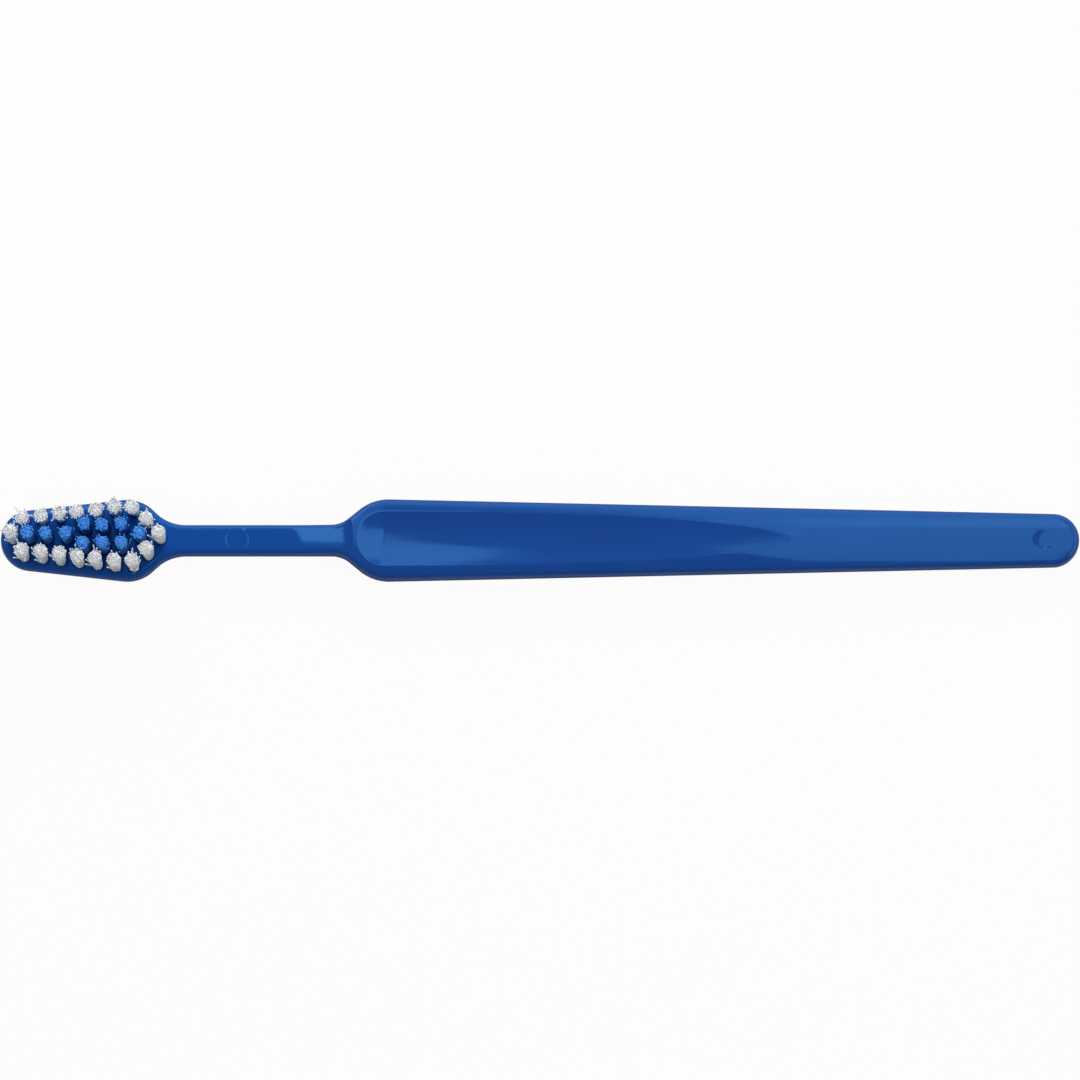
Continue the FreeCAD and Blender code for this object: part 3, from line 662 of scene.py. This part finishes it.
class TOOTHBRUSH_OT_moulding(bpy.types.Operator):
    """Builds the handle, neck and head as one moulding"""

    bl_idname = "toothbrush.build_moulding"
    bl_label = "Moulding"

    def execute(self, context):
        shape = context.scene.toothbrush_moulding
        holes = [(p.x / MM + LENGTH / 2, p.y / MM) for p, _, _ in map(tuft_place, TUFTS)]
        stations = steps_along(outline(shape), shape.finest_step / MM)
        rings = []
        for row in section_rows(shape, holes, stations):
            upper = np.stack(row, axis=1)
            lower = upper[-2:0:-1] * (1, -1, 1)
            rings.append(np.concatenate([upper, lower]))
        grid = np.stack(rings)
        count, around = grid.shape[:2]
        points = (grid.reshape(-1, 3) - (LENGTH / 2, 0, 0)) * MM
        faces = [(r * around + a, (r + 1) * around + a, (r + 1) * around + (a + 1) % around,
                  r * around + (a + 1) % around) for r in range(count - 1) for a in range(around)]
        piece = new_piece("moulded_handle", points.tolist(), faces, polished_plastic(shape),
                          "handle_plastic", "handle")
        self.close(piece.data)
        self.note_places(piece.data)
        return {"FINISHED"}

    @staticmethod
    def close(mesh):
        """Joins the two sides along the middle."""
        work = bmesh.new()
        work.from_mesh(mesh)
        bmesh.ops.remove_doubles(work, verts=work.verts, dist=WELD)
        bmesh.ops.dissolve_degenerate(work, edges=work.edges, dist=SLIVER)
        bmesh.ops.recalc_face_normals(work, faces=work.faces)
        for face in work.faces:
            face.smooth = True
        work.to_mesh(mesh)
        work.free()

    @staticmethod
    def note_places(mesh):
        """Notes where the surface is upright, where it is thin, and the front slope of the dish."""
        along = [corner.co.x / MM + LENGTH / 2 for corner in mesh.vertices]
        low, high = DISH_FRONT
        note(mesh,
             side=[1.0 - abs(corner.normal.z) for corner in mesh.vertices],
             thin=[min(max((THIN_END - x) / THIN_RUN, 0.0), 1.0) for x in along],
             front=[float(low < x < high) for x in along])


# How the strands grow

# Radii where a tuft leaves the face, and where the row on the far side stands
BUNDLE_RADIUS, CORE_RADIUS = 0.83 * MM, 0.75 * MM
FAR_ROW = 2.6 * MM
# The share of the strands that stray, and of the pitch by which roots are shaken
STRAY_SHARE, SHAKE_SHARE = 0.26, 0.06
# Room left to the part's box: beside the strands, in strand widths, and over them
SIDE_ROOM_SHARE, TOP_ROOM = 0.6, 0.03 * MM
# How much lower the outer tips are, and the power by which strands curve outward
TIP_DOME, OUTWARD = 80.0, 1.3
# How far a strand may bend aside on its way up, and in how many waves
BEND, BEND_WAVES = 0.03 * MM, 0.8
SEEDS_APART = 1000
# The core of a tuft: its sides, its share of the tuft's width at the tip, and its shade
CORE_SIDES, CORE_FILL, CORE_SHADE = 24, 0.9, 0.5
# Places along a strand, from below the face to its rounded tip, and its girth at each
STRAND_PROFILE = ((-0.08, 1), (0.0, 1), (0.2, 1), (0.4, 1), (0.6, 1), (0.8, 1), (0.93, 1), (0.985, 1),
                  (0.996, 0.82), (1.0, 0.42))
CORE_PROFILE = ((0, 1), (0.2, 1), (0.4, 1), (0.6, 1), (0.8, 1), (0.92, 1), (0.97, 0.88), (0.99, 0.6),
                (1.0, 0.2))


def circle(sides):
    """Corners of a round section with a radius of 1."""
    turns = np.arange(sides) * math.tau / sides
    return np.stack([np.cos(turns), np.sin(turns)], axis=1)


def tube(start, levels, sides):
    """The faces between the rings of a tube, the first of which begins at this point."""
    return [(low + s, low + (s + 1) % sides, low + sides + (s + 1) % sides, low + sides + s)
            for low in range(start, start + (levels - 1) * sides, sides) for s in range(sides)]


class TOOTHBRUSH_OT_bristles(bpy.types.Operator):
    """Grows every tuft strand by strand"""

    bl_idname = "toothbrush.build_bristles"
    bl_label = "Bristles"

    def execute(self, context):
        bristles = context.scene.toothbrush_bristles
        finishes = {
            "outer": ("white_bristle", strand_plastic("white_nylon", tuple(bristles.white),
                                                      tuple(bristles.white_root))),
            "inner": ("blue_bristle", strand_plastic("blue_nylon", tuple(bristles.blue),
                                                     tuple(bristles.blue_root))),
        }
        for which, node in enumerate(TUFTS):
            kind, _, place = node.split("_")
            slot, finish = finishes[kind]
            pick = np.random.default_rng(bristles.seed * SEEDS_APART + which)
            points, faces, up, strand = self.grow(node, bristles, pick)
            piece = new_piece(f"{kind}_bristles_{place}", points, faces, finish, slot, node)
            # The height share up each strand drives the painted shade towards the root
            note(piece.data, up=up, strand=strand)
        return {"FINISHED"}

    def grow(self, node, bristles, pick):
        """One tuft, on the place of its node: its mesh, and each point's height and strand."""
        base, wide, top = tuft_place(node)
        half_strand = bristles.strand_width / 2
        roots = self.roots(BUNDLE_RADIUS - half_strand, bristles.strand_pitch, pick)
        tips = roots * (wide - half_strand) / (BUNDLE_RADIUS - half_strand)
        tips, drift = self.stray(tips, base, bristles, pick)
        count = len(roots)
        heights = top - base.z - TOP_ROOM - np.abs(pick.normal(0, bristles.unevenness / 2, count))
        heights -= np.linalg.norm(tips, axis=1) ** 2 * TIP_DOME
        bends = pick.normal(0, BEND, (count, 2))
        own = pick.random(count)
        section = circle(bristles.sides) * half_strand
        points, faces, up, strand = self.core(base, top, wide, drift, bristles)
        for root, tip, height, bend, shade in zip(roots, tips, heights, bends, own):
            start = len(points)
            for level, girth in STRAND_PROFILE:
                rise = max(level, 0.0)
                middle = root + (tip - root) * rise ** OUTWARD
                middle = middle + bend * math.sin(rise * math.tau * BEND_WAVES)
                points += [(base.x + middle[0] + dx, base.y + middle[1] + dy, base.z + height * level)
                           for dx, dy in section * girth]
                up += [rise] * len(section)
                strand += [shade] * len(section)
            faces += tube(start, len(STRAND_PROFILE), len(section))
            faces.append(range(start + len(section) - 1, start - 1, -1))
            faces.append(range(len(points) - len(section), len(points)))
        return points, faces, up, strand

    @staticmethod
    def stray(tips, base, bristles, pick):
        """Moves the tips of a tuft by its own lean and by each strand's, within the box of the part."""
        tips = tips + pick.normal(0, bristles.spread, tips.shape)
        drift = pick.uniform(-1, 1, 2) * bristles.lean
        drift[1] -= bristles.far_lean * min(max(base.y / FAR_ROW, 0.0), 1.0)
        tips += drift
        strays = pick.random(len(tips)) < STRAY_SHARE
        tips[strays] += pick.normal(0, bristles.stray, (strays.sum(), 2))
        room = bristles.strand_width * SIDE_ROOM_SHARE
        low, high = (np.array(corner[:2]) for corner in CAD_BOX)
        return np.clip(tips, low + room - base.xy, high - room - base.xy), drift

    @staticmethod
    def core(base, top, wide, drift, bristles):
        """The closed inside of a tuft, so that no light falls through between the strands."""
        closed = 1.0 - bristles.core_depth / (top - base.z)
        points, up = [], []
        for level, girth in CORE_PROFILE:
            rise = level * closed
            reach = (CORE_RADIUS + (wide * CORE_FILL - CORE_RADIUS) * rise ** OUTWARD) * girth
            middle = drift * rise ** OUTWARD
            points += [(base.x + middle[0] + dx, base.y + middle[1] + dy, base.z + (top - base.z) * rise)
                       for dx, dy in circle(CORE_SIDES) * reach]
            up += [rise] * CORE_SIDES
        faces = tube(0, len(CORE_PROFILE), CORE_SIDES)
        faces.append(range(len(points) - CORE_SIDES, len(points)))
        return points, faces, up, [CORE_SHADE] * len(points)

    @staticmethod
    def roots(radius, pitch, pick):
        """Where strands leave the face: close-packed, a little shaken and turned."""
        turn = pick.uniform(0, math.tau)
        shift = pick.uniform(-pitch / 2, pitch / 2, 2)
        found = []
        reach = int(radius / pitch) + 2
        for row in range(-reach, reach + 1):
            for step in range(-reach, reach + 1):
                spot = np.array([(step + row % 2 / 2) * pitch, row * pitch * math.sqrt(3) / 2]) + shift
                if np.linalg.norm(spot) <= radius:
                    found.append(spot)
        found = np.array(found) + pick.normal(0, pitch * SHAKE_SHARE, (len(found), 2))
        spin = np.array([[math.cos(turn), -math.sin(turn)], [math.sin(turn), math.cos(turn)]])
        return found @ spin.T


class TOOTHBRUSH_OT_anchors(bpy.types.Operator):
    """Gives the anchors in the tuft holes their brass"""

    bl_idname = "toothbrush.finish_anchors"
    bl_label = "Anchors"

    def execute(self, context):
        anchors = frame["nodes"]["tuft_anchors"]
        anchors.data.materials.clear()
        anchors.data.materials.append(anchor_brass())
        return {"FINISHED"}


# The stage

# The floor's cells along one side, and how far it lies under the flat back
FLOOR_CELLS, FLOOR_GAP = 24, 0.02 * MM
WINDOW_PLACE, WINDOW_TILT = (150.0 * MM, 750.0 * MM, 750.0 * MM), math.radians(-45.0)
# The height that the camera aims at, and the width of its sensor in millimetres
AIM_HEIGHT = 2.5 * MM
SENSOR_WIDTH = 36.0


def at_height(height, *corners):
    """Corners of a card that hangs level."""
    return [(x, y, height) for x, y in corners]


# White cards that are only mirrored: name, radiance, and corners in millimetres from the middle
CARDS = (
    ("wall_card", 2.6, [(-700, 750, 50), (700, 750, 50), (700, 750, 650), (-700, 750, 650)]),
    ("ramp_card", 4.8, at_height(1500, (-251, 155), (-138, 330), (-138, 2200), (-948, 2200), (-948, 155))),
    ("dish_card", 3.7, at_height(
        250, (-24, 5), (-20.6, 11), (-19.7, 17), (-19, 29), (-17.3, 42), (-13.2, 53), (-8.5, 62),
        (-6.3, 74), (-5.4, 87), (-5.9, 102.8), (-7.2, 120), (-9.2, 133), (-12, 141.3),
        (-14.6, 146.8), (-17.3, 152.5), (-24, 156))),
    ("dish_far_card", 3.8, at_height(
        2990, (118, -105), (440, -105), (440, 1500), (175, 1500), (175, 640), (118, 640))),
    ("dish_end_card", 3.8, [(5, 0.5, 25), (5, 11, 25), (55.3, 291, 600), (55.3, -20, 600)]),
    ("wedge_card", 2.4, at_height(
        250, (24.5, 62), (28.5, 49), (32.3, 29), (35, 17), (38, 12), (38, 120), (29, 100), (25, 78))),
    ("grip_card", 2.5, at_height(
        80, (32.6, -10.4), (36.4, -14.9), (39.5, -18.5), (43, -22.6), (83, -22.6), (84, -8),
        (89, -3), (93, 7), (95, 14), (97, 26.4), (46, 26.4), (41.5, 12), (38, 6), (34.5, -3))),
    ("tail_card", 2.4, [(105, -30, 8), (105, 45, 8), (105, 45, 66), (105, -30, 66)]),
    ("back_card", 2.9, at_height(
        3000, (185, 930), (154, 1496), (114, 1971), (74, 2285), (12, 2455), (-110, 2700),
        (-110, 3960), (500, 3960), (500, 930))),
)


class TOOTHBRUSH_OT_stage(bpy.types.Operator):
    """Sets the paper floor, the lamp, the cards, the sky and the camera"""

    bl_idname = "toothbrush.set_stage"
    bl_label = "Stage"

    def execute(self, context):
        scene, stage = context.scene, context.scene.toothbrush_stage
        self.lay_floor(scene, stage)
        self.hang_window(scene, stage)
        for card in CARDS:
            self.hang_card(scene, *card)
        self.light_sky(scene, stage)
        self.place_camera(scene, stage)
        scene.view_settings.view_transform = "Standard"
        return {"FINISHED"}

    @staticmethod
    def lay_floor(scene, stage):
        """A sheet of matt paper, just under the flat back."""
        half, side = stage.floor_size / 2, FLOOR_CELLS + 1
        line = np.linspace(-half, half, side)
        points = [(x, y, -FLOOR_GAP) for y in line for x in line]
        faces = [(r * side + c, r * side + c + 1, (r + 1) * side + c + 1, (r + 1) * side + c)
                 for r in range(FLOOR_CELLS) for c in range(FLOOR_CELLS)]
        mesh = bpy.data.meshes.new("paper_floor")
        mesh.from_pydata(points, [], faces)
        mesh.materials.append(floor_paper(stage))
        floor = bpy.data.objects.new("paper_floor", mesh)
        scene.collection.objects.link(floor)

    @staticmethod
    def hang_window(scene, stage):
        """The one lamp that lights the brush: a square one behind it, as far up as it is away.

        Its power follows from its radiance and its area.
        """
        light = bpy.data.lights.new("window", "AREA")
        light.shape, light.size = "SQUARE", stage.window_size
        light.energy = stage.window * math.pi * stage.window_size ** 2
        light.color = COOL_WHITE
        lamp = bpy.data.objects.new("window", light)
        lamp.location = WINDOW_PLACE
        lamp.rotation_euler = (WINDOW_TILT, 0.0, 0.0)
        lamp.visible_glossy = lamp.visible_camera = False
        scene.collection.objects.link(lamp)

    @staticmethod
    def hang_card(scene, name, radiance, corners):
        """A white card, seen only as a reflection in the plastic and only from the brush's side."""
        mesh = bpy.data.meshes.new(name)
        mesh.from_pydata([[value * MM for value in corner] for corner in corners], [],
                         [range(len(corners))])
        if mesh.polygons[0].normal.dot(mesh.polygons[0].center) > 0:
            mesh.flip_normals()
        mesh.materials.append(card_light(name, radiance))
        card = bpy.data.objects.new(name, mesh)
        scene.collection.objects.link(card)
        card.visible_camera = card.visible_diffuse = card.visible_shadow = False
        card.visible_transmission = card.visible_volume_scatter = False

    @staticmethod
    def light_sky(scene, stage):
        """The same pale light from all round."""
        world = bpy.data.worlds.new("pale_sky")
        world.use_nodes = True
        background = next(n for n in world.node_tree.nodes if n.type == "BACKGROUND")
        background.inputs["Color"].default_value = (*SKY_WHITE, 1.0)
        background.inputs["Strength"].default_value = stage.sky
        scene.world = world

    @staticmethod
    def place_camera(scene, stage):
        """A long lens that looks down on the brush from a little below it."""
        camera = bpy.data.objects.new("camera", bpy.data.cameras.new("camera"))
        camera.data.lens = stage.lens
        camera.data.sensor_width = SENSOR_WIDTH
        back = Vector((0.0, -math.cos(stage.elevation), math.sin(stage.elevation)))
        aim = Vector((0.0, stage.aim_across, AIM_HEIGHT))
        camera.location = aim + back * stage.distance
        camera.rotation_euler = (-back).to_track_quat("-Z", "Y").to_euler()
        scene.collection.objects.link(camera)
        scene.camera = camera


OPERATORS = (TOOTHBRUSH_OT_moulding, TOOTHBRUSH_OT_bristles, TOOTHBRUSH_OT_anchors,
             TOOTHBRUSH_OT_stage)


class TOOTHBRUSH_PT_panel(bpy.types.Panel):
    """Lists the steps that build the brush, and what they can change"""

    bl_idname = "TOOTHBRUSH_PT_panel"
    bl_label = "Toothbrush"
    bl_space_type = "VIEW_3D"
    bl_region_type = "UI"
    bl_category = "Toothbrush"

    def draw(self, context):
        for operator in OPERATORS:
            self.layout.operator(operator.bl_idname)
        for name, group in GROUPS.items():
            box = self.layout.box()
            for prop in group.__annotations__:
                box.prop(getattr(context.scene, name), prop)


CLASSES = (*GROUPS.values(), *OPERATORS, TOOTHBRUSH_PT_panel)


def register():
    for each in CLASSES:
        bpy.utils.register_class(each)
    for name, group in GROUPS.items():
        setattr(bpy.types.Scene, name, bpy.props.PointerProperty(type=group))


def unregister():
    for name in GROUPS:
        delattr(bpy.types.Scene, name)
    for each in reversed(CLASSES):
        bpy.utils.unregister_class(each)


def main():
    """Builds everything in order."""
    register()
    bpy.ops.toothbrush.build_moulding()
    bpy.ops.toothbrush.build_bristles()
    bpy.ops.toothbrush.finish_anchors()
    bpy.ops.toothbrush.set_stage()


if __name__ == "__main__":
    main()
